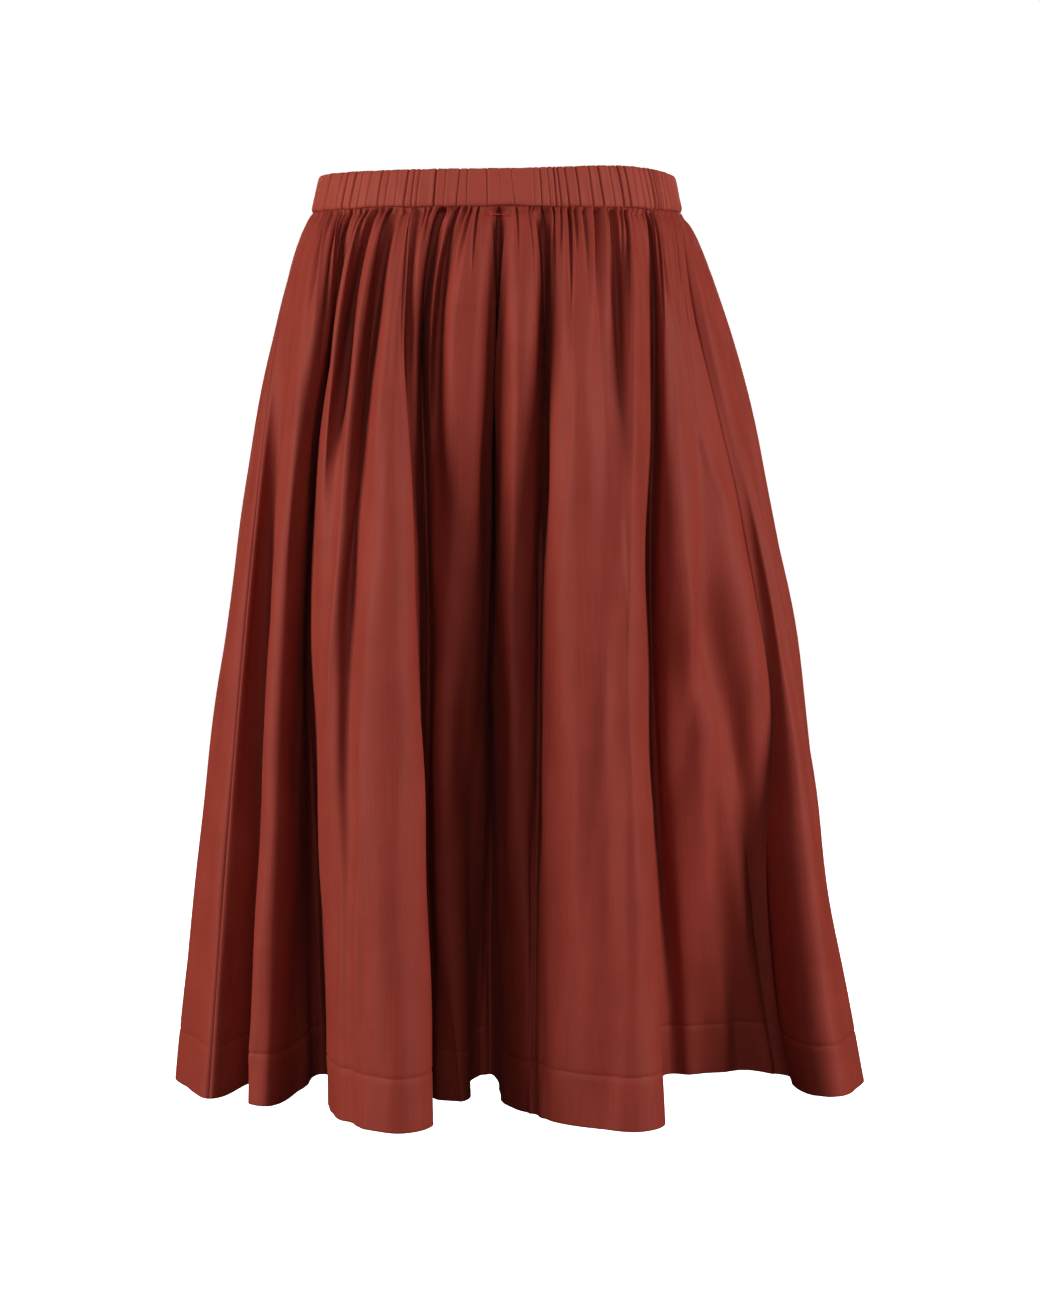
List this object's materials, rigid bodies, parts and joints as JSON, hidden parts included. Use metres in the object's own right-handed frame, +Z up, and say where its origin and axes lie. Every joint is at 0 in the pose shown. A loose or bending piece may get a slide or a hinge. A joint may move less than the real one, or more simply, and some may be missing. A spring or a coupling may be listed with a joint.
{
  "type": "gathered midi skirt",
  "caption": "Midi skirt of plain woven cloth, gathered under a ruched elastic waistband, hollow as worn, with deep soft folds and a turned-up hem.",
  "frame": {"origin": "middle of the waist, level with the seam under the waistband, where the wearer's waist holds the skirt", "axes": "+Z up, from the hem to the waistband; -Y towards the side that shows in the picture; +X to that view's right"},
  "size_m": [0.5224, 0.387, 0.679],
  "materials": {
    "skirt_cloth": "matte",
    "band_cloth": "matte",
    "pocket_cloth": "matte"
  },
  "bodies": {
    "root": {"waistband": "band_cloth", "front_panel": "skirt_cloth", "back_panel": "skirt_cloth", "pocket_bag": "pocket_cloth"}
  },
  "joints": []
}
